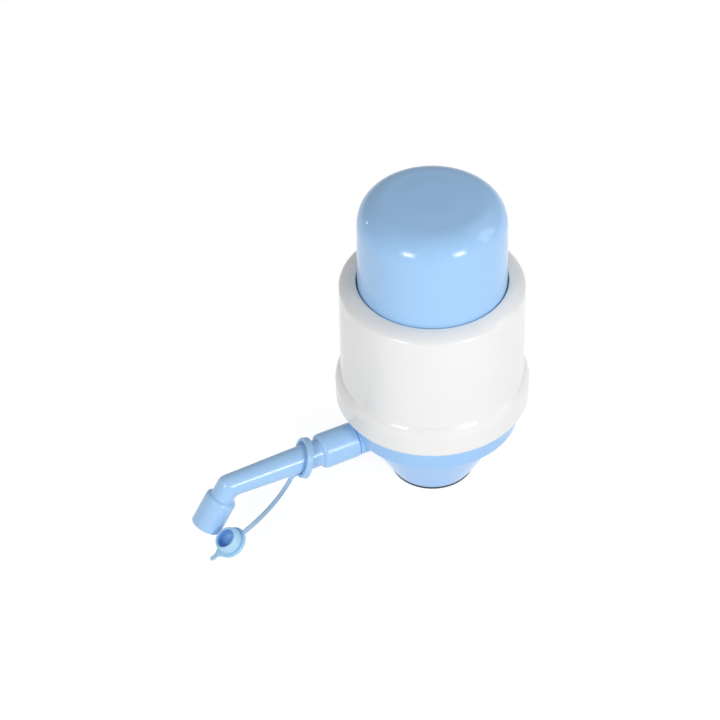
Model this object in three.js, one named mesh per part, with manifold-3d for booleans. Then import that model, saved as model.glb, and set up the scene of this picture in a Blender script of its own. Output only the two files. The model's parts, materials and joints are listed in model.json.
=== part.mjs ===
// Hand pump for a water jug: a press cap works a bellows that pushes air into the jug, and water
// rises through the elbow and leaves by the swivelling spout. Millimetres, +Z up, spout along -X.
import * as THREE from 'three';
import { mergeVertices } from 'three/addons/utils/BufferGeometryUtils.js';
import Module from 'manifold-3d';

const wasm = await Module();
wasm.setup();

// Fits, clearances and cutting
const runningGap = 0.5;
const seatGap = 0.3;
const overrun = 1;
const bigSides = 40;
const midSides = 24;
const smallSides = 16;

// Jug neck collar and its seals
const neckBoreRadius = 19;
const neckBoreDepth = 21;
const collarRimWall = 1;
const rimRingHeight = 1;
const rimRingInset = 0.4;
const rimRingGrip = 0.2;
const neckGasketWidth = 7.7;
const neckGasketHeight = 2.2;
const neckTubeWall = 1.7;

// Base moulding: cone, flat underside, band and spigot, each from the one outside it
const coneLedge = 0.6;
const coneInset = 3.6;
const bandTaper = 1.6;
const bandHeight = 10.2;
const undersideRise = 0.7;
const baseWall = 2.2;
const webThickness = 2.5;
const spigotHeight = 7.4;
const spigotWall = 2.4;
const airPortCount = 4;

// Housing shell, from its foot up
const skirtRadius = 45;
const skirtFlare = 3.1;
const flareHeight = 2.2;
const skirtHeight = 9.1;
const skirtStep = 2.5;
const stepHeight = 5.1;
const bodyTaper = 0.2;
const bodyHeight = 49.7;
const openingShare = 0.8144;
const shoulderRise = 3.7;
const housingWall = 2.2;
const housingLip = 1.9;
const shoulderSharpness = 2;

// Press cap
const capRise = 44.6;
const capDraft = 0.35;
const capDomeHeight = 14;
const capFlatShare = 0.625;
const capCrown = 0.4;
const capPadMargin = 12;
const capWall = 2;
const capDomeSharpness = 2.27;
const stopFlangeHeight = 3.2;
const stopFlangeWidth = 3.2;
const capBossDepth = 9.8;
const capBossWall = 3.9;
const ventNotchCount = 4;
const ventNotchWidth = 4;
const ventNotchHeight = 5;

// Valve plate, its seal and the clamp screws
const plateThickness = 2.6;
const plateSealHeight = 1;
const screwCount = 3;
const screwRadius = 1.5;
const screwLength = 12;
const screwHeadRadius = 2.9;
const screwHeadHeight = 1.8;
const screwSlotWidth = 0.9;
const postRadius = 3.4;
const postBite = 0.4;

// Bellows, plug, ring and return spring
const bellowsCrestShare = 0.8544;
const bellowsRootShare = 0.7778;
const bellowsWall = 1.2;
const bellowsFolds = 8;
const bellowsFlangeWidth = 2.4;
const bellowsFlangeHeight = 1.8;
const bellowsRingMargin = 2.3;
const bellowsRingThickness = 2.2;
const plugClearance = 0.4;
const plugFlangeThickness = 2.2;
const plugNeckShare = 0.608;
const plugNeckWall = 1.8;
const plugNeckHeight = 7;
const springWireRadius = 0.9;
const springClearance = 2.9;
const springTurns = 10;
const springStepsPerTurn = 8;
const springWireSides = 5;

// Soft flap valves, and the ports that they cover
const flapShare = 0.593;
const flapThickness = 1.1;
const flapStemRadius = 1.4;
const flapButtonRadius = 2.2;
const flapButtonHeight = 1;
const flapLift = 1;
const portShare = 0.17;
const portCircleShare = 0.63;
const portCount = 6;

// Outlet: elbow, boss and O-ring
const spigotTubeRadius = 5;
const elbowThickening = 0.8;
const elbowWall = 2.4;
const elbowEdge = 0.8;
const dipSpigotLength = 17;
const elbowCollarWidth = 3.2;
const elbowCollarHeight = 1.6;
const elbowSealHeight = 1;
const outletBossWall = 1.8;
const outletBossProud = 1.3;
const outletBossLength = 14.6;
const nippleLength = 15.1;
const ringGrooveDepth = 1.2;
const ringGrooveWidth = 1.9;
const ringGrooveSetback = 6;
const outletRingWire = 0.65;

// Spout
const socketWall = 2.1;
const socketShoulder = 2.2;
const socketEnd = 2.6;
const tubeTaper = 1.05;
const tubeEndRadius = 5.35;
const tubeWall = 1.45;
const tubeLength = 46.2;
const dropAngle = 58;
const mitreRoundShare = 1.07;
const nozzleStart = 6.2;
const nozzleShoulder = 1.9;
const nozzleRadius = 7.3;
const nozzleLength = 23;
const nozzleWall = 1;
const nozzleBoreDepth = 12;

// Dust cap and its tether
const tetherRingSetback = 9.4;
const tetherRingBand = 1.1;
const tetherRingWidth = 3;
const tetherRingTilt = 28;
const strapWidth = 2.4;
const strapThickness = 1.4;
const strapRootPull = 13.5;
const strapEndPull = 10;
const strapSteps = 14;
const strapSides = 8;
const flangeLip = 0.2;
const flangeThickness = 1.2;
const plugFit = 0.2;
const plugTaper = 0.5;
const plugWall = 1.2;
const plugHeight = 6;
const plugEdge = 0.7;
const dustCapSetback = 6.3;
const dustCapDrop = 20.45;
const dustCapTilt = 33;
const dustCapTurn = 4;
const tabLength = 5;
const tabRootWidth = 5;
const tabNeckWidth = 1.7;
const tabTipRadius = 1.15;
const tabThickness = 0.9;

// Finishes
const plastic = (color, roughness) => new THREE.MeshStandardMaterial({ color, roughness, metalness: 0 });
const bluePlastic = plastic(0xa9cff4, 0.3);
const whitePlastic = plastic(0xf2f2f1, 0.28);
const greyPlastic = plastic(0xd9dde0, 0.4);
const softBlue = plastic(0xa8d0f2, 0.42);
const darkRubber = plastic(0x3f4852, 0.8);
const siliconeRubber = plastic(0xd7dcde, 0.6);
const bellowsRubber = plastic(0x8fa3b5, 0.7);
const steel = new THREE.MeshStandardMaterial({ color: 0xb9bec2, roughness: 0.35, metalness: 1 });

const pump = new THREE.Group();
pump.name = 'water_jug_hand_pump';

// Shaping helpers
const degrees = (angle) => THREE.MathUtils.degToRad(angle);

function piece(name, geometry, material, parent = pump) {
  const mesh = new THREE.Mesh(geometry, material);
  mesh.name = name;
  parent.add(mesh);
  return mesh;
}

// A closed outline of [radius, height] pairs turned round +Z, anticlockwise when radius is to the right.
function turned(outline, sides) {
  const points = outline.map(([radius, height]) => new THREE.Vector2(radius, height));
  if (outline[0][0] !== 0 || outline.at(-1)[0] !== 0) points.push(points[0].clone());
  return new THREE.LatheGeometry(points, sides).rotateX(Math.PI / 2);
}

function cylinder(radius, from, to, sides = smallSides, endRadius = radius) {
  return turned([[0, from], [radius, from], [endRadius, to], [0, to]], sides);
}

const ball = (radius) => new THREE.SphereGeometry(radius, smallSides, smallSides / 2);

// Turns a shape made along +Z so that it points along -X.
const alongSpout = (geometry) => geometry.rotateY(-Math.PI / 2);

function solid(geometry) {
  const bare = geometry.clone();
  bare.deleteAttribute('normal');
  bare.deleteAttribute('uv');
  const merged = mergeVertices(bare);
  return new wasm.Manifold(new wasm.Mesh({
    numProp: 3,
    vertProperties: new Float32Array(merged.attributes.position.array),
    triVerts: new Uint32Array(merged.index.array),
  }));
}

function shape(body) {
  const { vertProperties, triVerts } = body.getMesh();
  const geometry = new THREE.BufferGeometry();
  geometry.setAttribute('position', new THREE.BufferAttribute(new Float32Array(vertProperties), 3));
  geometry.setIndex(new THREE.BufferAttribute(new Uint32Array(triVerts), 1));
  const faceted = geometry.toNonIndexed();
  faceted.computeVertexNormals();
  return faceted;
}

const joined = (...geometries) => geometries.map(solid).reduce((whole, next) => whole.add(next));
const cutBy = (whole, cutters) => cutters.map(solid).reduce((rest, next) => rest.subtract(next), whole);

// The same geometry at every angle of a circle, each copy moved out by the radius.
function around(count, radius, make, start = 0) {
  return Array.from({ length: count }, (_, index) => {
    const angle = start + index * 2 * Math.PI / count;
    return make().translate(radius * Math.cos(angle), radius * Math.sin(angle), 0);
  });
}

// Points of a rounded corner from one [radius, height] to another, the first end leaving upright.
function corner([fromRadius, fromHeight], [toRadius, toHeight], steps, sharpness = 2) {
  return Array.from({ length: steps + 1 }, (_, index) => {
    const turn = index / steps * Math.PI / 2;
    return [
      toRadius + (fromRadius - toRadius) * Math.cos(turn) ** (2 / sharpness),
      fromHeight + (toHeight - fromHeight) * Math.sin(turn) ** (2 / sharpness),
    ];
  });
}

// Heights, from the jug neck's end stop up
const collarFoot = rimRingHeight;
const webFoot = collarFoot + neckBoreDepth;
const webTop = webFoot + webThickness;
const elbowRadius = spigotTubeRadius + elbowThickening;
const bossRadius = elbowRadius + seatGap + outletBossWall;
const outletHeight = webTop + seatGap + bossRadius;
const undersideHeight = outletHeight + undersideRise;
const coneTopHeight = undersideHeight - coneLedge;
const bandTopHeight = undersideHeight + bandHeight;
const spigotTop = bandTopHeight + spigotHeight;
const plateFoot = spigotTop + plateSealHeight;
const plateTop = plateFoot + plateThickness;
const skirtFootHeight = bandTopHeight + flareHeight;
const skirtTopHeight = skirtFootHeight + skirtHeight;
const bodyFootHeight = skirtTopHeight + stepHeight;
const bodyTopHeight = bodyFootHeight + bodyHeight;
const housingHeight = bodyTopHeight + shoulderRise;
const capFlatHeight = housingHeight + capRise;
const capShoulderHeight = capFlatHeight - capDomeHeight;
const domeUnderside = capFlatHeight - capWall;
const bellowsTopHeight = domeUnderside - capBossDepth;

// Radii, from the skirt in
const bandTopRadius = skirtRadius - skirtFlare;
const bandFootRadius = bandTopRadius - bandTaper;
const coneTopRadius = bandFootRadius - coneInset;
const collarRimRadius = neckBoreRadius + collarRimWall;
const bodyFootRadius = skirtRadius - skirtStep;
const bodyTopRadius = bodyFootRadius - bodyTaper;
const openingRadius = bodyTopRadius * openingShare;
const capFootRadius = openingRadius - runningGap;
const capShoulderRadius = capFootRadius - capDraft;
const capFlatRadius = capShoulderRadius * capFlatShare;
const capPadRadius = capFlatRadius - capPadMargin;
const bellowsCrestRadius = (capShoulderRadius - capWall) * bellowsCrestShare;
const bellowsRootRadius = bellowsCrestRadius * bellowsRootShare;
const bellowsFlangeRadius = bellowsCrestRadius + bellowsFlangeWidth;
const plugFlangeRadius = bellowsRootRadius - bellowsWall - plugClearance;
const plugNeckRadius = plugFlangeRadius * plugNeckShare;
const flapRadius = plugNeckRadius * flapShare;

// Seals of the collar
const rimRingInnerRadius = neckBoreRadius - rimRingGrip;
const rimRingOuterRadius = collarRimRadius - rimRingInset;
const neckGasketOuterRadius = neckBoreRadius - seatGap;
const neckGasketInnerRadius = neckGasketOuterRadius - neckGasketWidth;
piece('rim_ring', turned([
  [rimRingInnerRadius, 0],
  [rimRingOuterRadius, 0],
  [rimRingOuterRadius, rimRingHeight],
  [rimRingInnerRadius, rimRingHeight],
], bigSides), darkRubber);

piece('neck_gasket', turned([
  [neckGasketInnerRadius, webFoot - neckGasketHeight],
  [neckGasketOuterRadius, webFoot - neckGasketHeight],
  [neckGasketOuterRadius, webFoot],
  [neckGasketInnerRadius, webFoot],
], midSides), darkRubber);

// Base: the collar's tube stands inside the cone and leaves a pocket that opens upwards
const coneSlope = (coneTopRadius - collarRimRadius) / (coneTopHeight - collarFoot);
const coneRadiusAt = (height) => collarRimRadius + coneSlope * (height - collarFoot);
const neckTubeRadius = neckBoreRadius + neckTubeWall;
const pocketFoot = collarFoot + (neckTubeRadius + baseWall - collarRimRadius) / coneSlope;
const floorTop = undersideHeight + baseWall;
const spigotRadius = bandTopRadius - housingLip - seatGap;
const spigotBore = spigotRadius - spigotWall;
const elbowHoleRadius = spigotTubeRadius + seatGap;
const elbowCollarRadius = spigotTubeRadius + elbowCollarWidth;

const baseOutline = [
  [elbowHoleRadius, webFoot],
  [neckBoreRadius, webFoot],
  [neckBoreRadius, collarFoot],
  [collarRimRadius, collarFoot],
  [coneTopRadius, coneTopHeight],
  [coneTopRadius, undersideHeight],
  [bandFootRadius, undersideHeight],
  [bandTopRadius, bandTopHeight],
  [spigotRadius, bandTopHeight],
  [spigotRadius, spigotTop],
  [spigotBore, spigotTop],
  [spigotBore, floorTop],
  [coneRadiusAt(floorTop) - baseWall, floorTop],
  [neckTubeRadius, pocketFoot],
  [neckTubeRadius, webTop],
  [elbowHoleRadius, webTop],
];
const bossReach = bandFootRadius + outletBossProud;
const bossInnerReach = bossReach - outletBossLength;
const boss = alongSpout(cylinder(bossRadius, bossInnerReach, bossReach, midSides))
  .translate(0, 0, outletHeight);
const bossBore = alongSpout(
  cylinder(elbowRadius + seatGap, bossInnerReach - overrun, bossReach + overrun, midSides),
).translate(0, 0, outletHeight);
const screwCircle = spigotBore + postBite - postRadius;
const screwStart = Math.PI / (2 * screwCount);
const postFoot = floorTop - baseWall / 2;
const posts = around(screwCount, screwCircle, () => cylinder(postRadius, postFoot, spigotTop), screwStart);
const pilots = around(
  screwCount, screwCircle,
  () => cylinder(screwRadius + seatGap, spigotTop - screwLength, spigotTop + overrun), screwStart,
);
const airPortRadius = (neckGasketInnerRadius - elbowCollarRadius) / 2;
const airPortCircle = (neckGasketInnerRadius + elbowCollarRadius) / 2;
const airPorts = around(airPortCount, airPortCircle, () => cylinder(
  airPortRadius, webFoot - overrun, webTop + overrun, smallSides / 2,
), Math.PI / airPortCount);
piece('base', shape(cutBy(
  joined(turned(baseOutline, bigSides), boss, ...posts), [bossBore, ...pilots, ...airPorts],
)), bluePlastic);

piece('plate_seal', turned([
  [spigotBore, spigotTop],
  [spigotRadius, spigotTop],
  [spigotRadius, plateFoot],
  [spigotBore, plateFoot],
], bigSides), siliconeRubber);

// Valve plate with a ring of ports under the bellows
const stemHole = flapStemRadius + seatGap;
const portRadius = flapRadius * portShare;
const portCircle = flapRadius * portCircleShare;
function portedWeb(blank, foot, top) {
  const ports = around(
    portCount, portCircle, () => cylinder(portRadius, foot - overrun, top + overrun, smallSides / 2),
  );
  const middle = cylinder(stemHole, foot - overrun, top + overrun, smallSides / 2);
  return cutBy(solid(blank), [middle, ...ports]);
}
const screwHoles = around(
  screwCount, screwCircle,
  () => cylinder(screwRadius + seatGap, plateFoot - overrun, plateTop + overrun), screwStart,
);
piece('valve_plate', shape(cutBy(
  portedWeb(cylinder(spigotRadius, plateFoot, plateTop, bigSides), plateFoot, plateTop), screwHoles,
)), greyPlastic);

// A soft flap under a ported web, hung by its stem and button so that it drops by the lift
function flapValve(name, webBottom, webTopFace) {
  const buttonFoot = webTopFace + flapLift;
  piece(name, turned([
    [0, webBottom - flapThickness],
    [flapRadius, webBottom - flapThickness / 2],
    [flapRadius, webBottom],
    [flapStemRadius, webBottom],
    [flapStemRadius, buttonFoot],
    [flapButtonRadius, buttonFoot],
    [flapStemRadius, buttonFoot + flapButtonHeight],
    [0, buttonFoot + flapButtonHeight],
  ], smallSides), siliconeRubber);
}
flapValve('delivery_valve', plateFoot, plateTop);

// Bellows: a thin folded wall between a foot flange and a top face with a hole for the plug's neck
const bellowsFlangeTop = plateTop + bellowsFlangeHeight;
const foldsFoot = bellowsFlangeTop + bellowsRingThickness;
const foldsTop = bellowsTopHeight - bellowsFlangeHeight - bellowsWall;
const foldPitch = (foldsTop - foldsFoot) / bellowsFolds;
const foldWall = (inset, sign) => Array.from({ length: 2 * bellowsFolds + 1 }, (_, index) => [
  (index % 2 ? bellowsCrestRadius : bellowsRootRadius) - inset,
  foldsFoot + index * foldPitch / 2,
]).sort((a, b) => sign * (a[1] - b[1]));
piece('bellows', turned([
  [bellowsRootRadius - bellowsWall, plateTop],
  [bellowsFlangeRadius, plateTop],
  [bellowsFlangeRadius, bellowsFlangeTop],
  [bellowsRootRadius, bellowsFlangeTop],
  ...foldWall(0, 1),
  [bellowsRootRadius, bellowsTopHeight],
  [plugNeckRadius + seatGap, bellowsTopHeight],
  [plugNeckRadius + seatGap, bellowsTopHeight - bellowsFlangeHeight],
  [bellowsRootRadius - bellowsWall, bellowsTopHeight - bellowsFlangeHeight],
  ...foldWall(bellowsWall, -1),
], midSides), bellowsRubber);

// Clamp ring: its outer half stands on the plate and its inner half holds the bellows' flange
const ringTop = bellowsFlangeTop + bellowsRingThickness;
const bellowsRingRadius = spigotRadius - bellowsRingMargin;
piece('bellows_ring', shape(cutBy(solid(turned([
  [bellowsFlangeRadius + seatGap, plateTop],
  [bellowsRingRadius, plateTop],
  [bellowsRingRadius, ringTop],
  [bellowsRootRadius + seatGap, ringTop],
  [bellowsRootRadius + seatGap, bellowsFlangeTop],
  [bellowsFlangeRadius + seatGap, bellowsFlangeTop],
], bigSides)), around(
  screwCount, screwCircle,
  () => cylinder(screwRadius + seatGap, plateTop - overrun, ringTop + overrun), screwStart,
))), greyPlastic);

// Clamp screws: pan heads on the ring, shanks down into the base's posts
const screwShape = () => {
  const body = joined(
    cylinder(screwRadius, ringTop - screwLength, ringTop + screwHeadHeight / 2, smallSides / 2),
    turned([
      [0, ringTop],
      [screwHeadRadius, ringTop],
      ...corner([screwHeadRadius, ringTop + screwHeadHeight / 3], [0, ringTop + screwHeadHeight], 3),
    ], smallSides),
  );
  const slotLength = 2 * screwRadius;
  const slots = [[screwSlotWidth, slotLength], [slotLength, screwSlotWidth]].map(([width, depth]) => (
    new THREE.BoxGeometry(width, depth, screwHeadHeight).translate(0, 0, ringTop + screwHeadHeight)
  ));
  return shape(cutBy(body, slots));
};
around(screwCount, screwCircle, screwShape, screwStart).forEach((geometry, index) => {
  piece(`clamp_screw_${index + 1}`, geometry, steel);
});

// Plug: clamps the bellows' top face against the cap's boss and carries the intake ports
const plugTop = bellowsTopHeight - bellowsFlangeHeight;
const plugFoot = plugTop - plugFlangeThickness;
piece('bellows_plug', shape(portedWeb(turned([
  [0, plugFoot],
  [plugFlangeRadius, plugFoot],
  [plugFlangeRadius, plugTop],
  [plugNeckRadius, plugTop],
  [plugNeckRadius, bellowsTopHeight + plugNeckHeight],
  [plugNeckRadius - plugNeckWall, bellowsTopHeight + plugNeckHeight],
  [plugNeckRadius - plugNeckWall, plugTop],
  [0, plugTop],
], midSides), plugFoot, plugTop)), greyPlastic);
flapValve('intake_valve', plugFoot, plugTop);

// Return spring: one wire with closed end turns between the plate and the plug
const springFoot = plateTop + seatGap + springWireRadius;
const springTop = plugFoot - seatGap - springWireRadius;
const springRadius = bellowsRootRadius - bellowsWall - springClearance - springWireRadius;
const wireDiameter = 2 * springWireRadius;
const endTurnPitch = wireDiameter + 2 * seatGap;
class SpringPath extends THREE.Curve {
  getPoint(share, target = new THREE.Vector3()) {
    const turns = share * springTurns;
    const open = (springTop - springFoot - 2 * endTurnPitch) / (springTurns - 2);
    const height = springFoot + endTurnPitch * Math.min(turns, 1)
      + open * THREE.MathUtils.clamp(turns - 1, 0, springTurns - 2)
      + endTurnPitch * Math.max(turns - springTurns + 1, 0);
    const angle = 2 * Math.PI * turns;
    return target.set(springRadius * Math.cos(angle), springRadius * Math.sin(angle), height);
  }
}

// A rod of a round or flat section swept along a path, with closed ends.
function swept(path, halfWidth, halfDepth, sides, steps, startShare = 0) {
  const section = new THREE.Shape(Array.from({ length: sides }, (_, index) => {
    const angle = 2 * Math.PI * (index + startShare) / sides;
    return new THREE.Vector2(halfWidth * Math.cos(angle), halfDepth * Math.sin(angle));
  }));
  return new THREE.ExtrudeGeometry(section, { extrudePath: path, steps, curveSegments: 1 });
}
const springPath = new SpringPath();
const springSteps = springTurns * springStepsPerTurn;
piece('return_spring', swept(
  springPath, springWireRadius, springWireRadius, springWireSides, springSteps,
), steel);
const springHeights = Array.from(
  { length: springSteps + 1 }, (_, index) => springPath.getPoint(index / springSteps).z,
);
const turnRises = springHeights.slice(springStepsPerTurn)
  .map((height, index) => height - springHeights[index]);
const leastTurnGap = Math.min(...turnRises) - wireDiameter;
console.log(`return_spring least gap between turns ${leastTurnGap.toFixed(2)} mm`);

// Housing: skirt, straight body and a rounded shoulder down to the opening's lip
const lipTop = skirtFootHeight + housingWall;
const innerShoulderHeight = housingHeight - housingWall;
piece('housing', turned([
  [bandTopRadius - housingLip, bandTopHeight],
  [bandTopRadius, bandTopHeight],
  ...corner([skirtRadius, skirtFootHeight], [bandTopRadius, bandTopHeight], 4).reverse().slice(1),
  ...corner([skirtRadius, skirtTopHeight], [bodyFootRadius, bodyFootHeight], 4),
  ...corner([bodyTopRadius, bodyTopHeight], [openingRadius, housingHeight], 6, shoulderSharpness),
  [openingRadius, innerShoulderHeight - housingWall],
  [openingRadius + housingWall, innerShoulderHeight - housingWall],
  [openingRadius + housingWall, innerShoulderHeight],
  [bodyTopRadius - housingWall - shoulderRise / 2, innerShoulderHeight],
  [bodyTopRadius - housingWall, bodyTopHeight - shoulderRise / 2],
  [bodyFootRadius - housingWall, bodyFootHeight],
  [skirtRadius - housingWall, skirtTopHeight],
  [skirtRadius - housingWall, lipTop],
  [bandTopRadius - housingLip, lipTop - housingWall / 2],
], bigSides), whitePlastic);

// Press cap: a dome with a stop flange under the housing's lip and a slotted boss over the plug
const stopTop = innerShoulderHeight - housingWall - seatGap;
const stopFoot = stopTop - stopFlangeHeight;
const stopRadius = openingRadius + stopFlangeWidth;
const capTop = capFlatHeight + capCrown;
const capTaper = (capFootRadius - capShoulderRadius) / (capShoulderHeight - housingHeight);
const capRadiusAt = (height) => capFootRadius + capTaper * (housingHeight - height);
const capBossBore = plugNeckRadius + seatGap;
const capBossRadius = capBossBore + capBossWall;
const pressCap = solid(turned([
  [0, domeUnderside],
  [capBossBore, domeUnderside],
  [capBossBore, bellowsTopHeight],
  [capBossRadius, bellowsTopHeight],
  [capBossRadius, domeUnderside],
  ...corner(
    [capShoulderRadius - capWall, capShoulderHeight], [capFlatRadius, domeUnderside], 6, capDomeSharpness,
  ).reverse(),
  [capRadiusAt(stopTop) - capWall, stopFoot],
  [stopRadius, stopFoot],
  [stopRadius, stopTop],
  [capRadiusAt(stopTop), stopTop],
  ...corner([capShoulderRadius, capShoulderHeight], [capFlatRadius, capFlatHeight], 9, capDomeSharpness),
  [(capFlatRadius + capPadRadius) / 2, capTop - capCrown / 4],
  [capPadRadius, capTop],
  [0, capTop],
], bigSides));
const ventNotches = Array.from({ length: ventNotchCount / 2 }, (_, index) => (
  new THREE.BoxGeometry(2 * capBossRadius + 2 * overrun, ventNotchWidth, ventNotchHeight)
    .translate(0, 0, domeUnderside - ventNotchHeight / 2)
    .rotateZ(index * 2 * Math.PI / ventNotchCount)
));
piece('press_cap', shape(cutBy(pressCap, ventNotches)), bluePlastic);

// Elbow: an upright spigot for the dip tube and a level nipple that the spout turns on
const collarSeat = webTop + elbowSealHeight;
const elbowFoot = webFoot - dipSpigotLength;
const elbowBoreRadius = elbowRadius - elbowWall;
const elbowReach = bossReach + nippleLength;
const grooveFar = elbowReach - ringGrooveSetback;
const grooveNear = grooveFar - ringGrooveWidth;
const grooveRadius = elbowRadius - ringGrooveDepth;
piece('elbow_seal', turned([
  [elbowHoleRadius, webTop],
  [elbowCollarRadius, webTop],
  [elbowCollarRadius, collarSeat],
  [elbowHoleRadius, collarSeat],
], smallSides), darkRubber);
const uprightLeg = turned([
  [0, elbowFoot],
  [spigotTubeRadius, elbowFoot],
  [spigotTubeRadius, collarSeat],
  [elbowCollarRadius, collarSeat],
  [elbowCollarRadius, collarSeat + elbowCollarHeight],
  [elbowRadius, collarSeat + elbowCollarHeight],
  ...corner([elbowRadius, outletHeight], [0, outletHeight + elbowRadius], 4),
], smallSides);
const levelLeg = alongSpout(turned([
  [0, 0],
  [elbowRadius, 0],
  [elbowRadius, grooveNear],
  [grooveRadius, grooveNear],
  [grooveRadius, grooveFar],
  [elbowRadius, grooveFar],
  [elbowRadius, elbowReach - elbowEdge],
  [elbowRadius - elbowEdge, elbowReach],
  [0, elbowReach],
], smallSides)).translate(0, 0, outletHeight);
const uprightBore = turned([
  [0, elbowFoot - overrun],
  [elbowBoreRadius, elbowFoot - overrun],
  ...corner([elbowBoreRadius, outletHeight], [0, outletHeight + elbowBoreRadius], 3),
], smallSides);
const levelBore = alongSpout(cylinder(elbowBoreRadius, 0, elbowReach + overrun))
  .translate(0, 0, outletHeight);
piece('outlet_elbow', shape(cutBy(joined(uprightLeg, levelLeg), [uprightBore, levelBore])), greyPlastic);

const outletRing = new THREE.TorusGeometry(grooveRadius + outletRingWire, outletRingWire, 8, smallSides)
  .rotateY(Math.PI / 2)
  .translate(-(grooveNear + grooveFar) / 2, 0, outletHeight);
piece('outlet_o_ring', outletRing, darkRubber);

// Spout: socket, tapering tube, mitred bend and nozzle, hollow from end to end
const socketStart = bossReach + seatGap;
const socketBoreRadius = elbowRadius + 2 * outletRingWire - ringGrooveDepth + seatGap;
const socketRadius = socketBoreRadius + socketWall;
const socketFloor = elbowReach + runningGap;
const socketReach = socketFloor + socketEnd;
const tubeRootRadius = tubeEndRadius + tubeTaper;
const tubeBoreRadius = tubeEndRadius - tubeWall;
const bendReach = socketReach + tubeLength;
const nozzleBoreRadius = nozzleRadius - nozzleWall;
const drop = degrees(dropAngle);
const alongTube = (geometry) => alongSpout(geometry).translate(0, 0, outletHeight);
// Turns a shape made along +Z so that it follows the nozzle's axis from the corner of the bend.
const alongNozzle = (geometry) => alongSpout(geometry)
  .rotateY(-drop)
  .translate(-bendReach, 0, outletHeight);
const nozzleFull = nozzleStart + nozzleShoulder;
const spoutTube = alongTube(turned([
  [0, socketStart],
  [socketRadius, socketStart],
  ...corner([socketRadius, socketReach - socketShoulder], [tubeRootRadius, socketReach], 4),
  [tubeEndRadius, bendReach],
  [0, bendReach],
], smallSides));
const nozzle = alongNozzle(turned([
  [0, 0],
  [tubeEndRadius, 0],
  [tubeEndRadius, nozzleStart],
  ...corner([nozzleRadius, nozzleFull], [tubeEndRadius, nozzleStart], 4).reverse().slice(1),
  [nozzleRadius, nozzleLength],
  [0, nozzleLength],
], smallSides));

// The two tubes run on past the corner, and what they share there, rounded by a ball, is the mitre
const mitre = solid(alongTube(cylinder(tubeEndRadius, bendReach - overrun, bendReach + tubeEndRadius)))
  .intersect(solid(alongNozzle(cylinder(tubeEndRadius, -tubeEndRadius, overrun))))
  .intersect(solid(ball(tubeEndRadius * mitreRoundShare).translate(-bendReach, 0, outletHeight)));
const socketBore = alongTube(cylinder(socketBoreRadius, socketStart - overrun, socketFloor));
const tubeBore = alongTube(cylinder(tubeBoreRadius, socketFloor - overrun, bendReach));
const cornerBore = ball(tubeBoreRadius).translate(-bendReach, 0, outletHeight);
const nozzleStep = nozzleLength - nozzleBoreDepth;
const nozzleBore = alongNozzle(turned([
  [0, 0],
  [tubeBoreRadius, 0],
  [tubeBoreRadius, nozzleStep],
  [nozzleBoreRadius, nozzleStep + nozzleBoreRadius - tubeBoreRadius],
  [nozzleBoreRadius, nozzleLength + overrun],
  [0, nozzleLength + overrun],
], smallSides));
piece('spout', shape(cutBy(
  joined(spoutTube, nozzle).add(mitre), [socketBore, tubeBore, cornerBore, nozzleBore],
)), bluePlastic);

// Tether ring, askew on the tube and just wide enough to stand so
const ringTilt = degrees(tetherRingTilt);
const halfBand = tetherRingWidth / 2;
const bandInner = (tubeRootRadius + seatGap + halfBand * Math.sin(ringTilt)) / Math.cos(ringTilt);
const tetherRingOuterRadius = bandInner + tetherRingBand;
const tetherRingReach = socketReach + tetherRingSetback;
const bandRound = tetherRingBand / 3;
const tetherRing = piece('tether_ring', turned([
  [bandInner, -halfBand + bandRound],
  [bandInner + bandRound, -halfBand],
  [tetherRingOuterRadius - bandRound, -halfBand],
  [tetherRingOuterRadius, -halfBand + bandRound],
  [tetherRingOuterRadius, halfBand - bandRound],
  [tetherRingOuterRadius - bandRound, halfBand],
  [bandInner + bandRound, halfBand],
  [bandInner, halfBand - bandRound],
], midSides), softBlue);
tetherRing.position.set(-tetherRingReach, 0, outletHeight);
tetherRing.rotation.y = -Math.PI / 2 + ringTilt;

// Dust cap, tipped with its tab down beside the nozzle, made with its strap side along +X
const flangeRadius = nozzleRadius + flangeLip;
const plugFootRadius = nozzleBoreRadius - plugFit;
const plugRadius = plugFootRadius - plugTaper;
const plugBoreRadius = plugRadius - plugWall;
const dustCapReach = bendReach + dustCapSetback;
const dustCapSide = nozzleRadius + seatGap + flangeRadius;
const dustCapHeight = outletHeight - dustCapDrop;
const plugCup = turned([
  [0, flangeThickness],
  [plugBoreRadius, flangeThickness],
  [plugBoreRadius, plugHeight],
  ...corner([plugRadius, plugHeight - plugEdge], [plugRadius - plugEdge, plugHeight], 3).reverse(),
  [plugFootRadius, flangeThickness],
  [flangeRadius, flangeThickness],
  [flangeRadius, 0],
  [0, 0],
].reverse(), midSides);
const tabRoot = -flangeRadius + tabRootWidth / 2;
const tabTip = -flangeRadius - tabLength + tabTipRadius;
const tabNeck = tabTip + 2 * tabTipRadius;
const tab = new THREE.ExtrudeGeometry(new THREE.Shape()
  .moveTo(tabRoot, -tabRootWidth / 2)
  .quadraticCurveTo(-flangeRadius, -tabNeckWidth / 2, tabNeck, -tabNeckWidth / 2)
  .absarc(tabTip, 0, tabTipRadius, -Math.PI / 4, Math.PI / 4, true)
  .lineTo(tabNeck, tabNeckWidth / 2)
  .quadraticCurveTo(-flangeRadius, tabNeckWidth / 2, tabRoot, tabRootWidth / 2)
  .closePath(), { depth: tabThickness, bevelEnabled: false, curveSegments: 5 });
const dustCap = piece('dust_cap', shape(joined(plugCup, tab)), softBlue);
dustCap.position.set(-dustCapReach, -dustCapSide, dustCapHeight);
dustCap.rotation.set(0, -degrees(dustCapTilt), -degrees(dustCapTurn));

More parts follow.
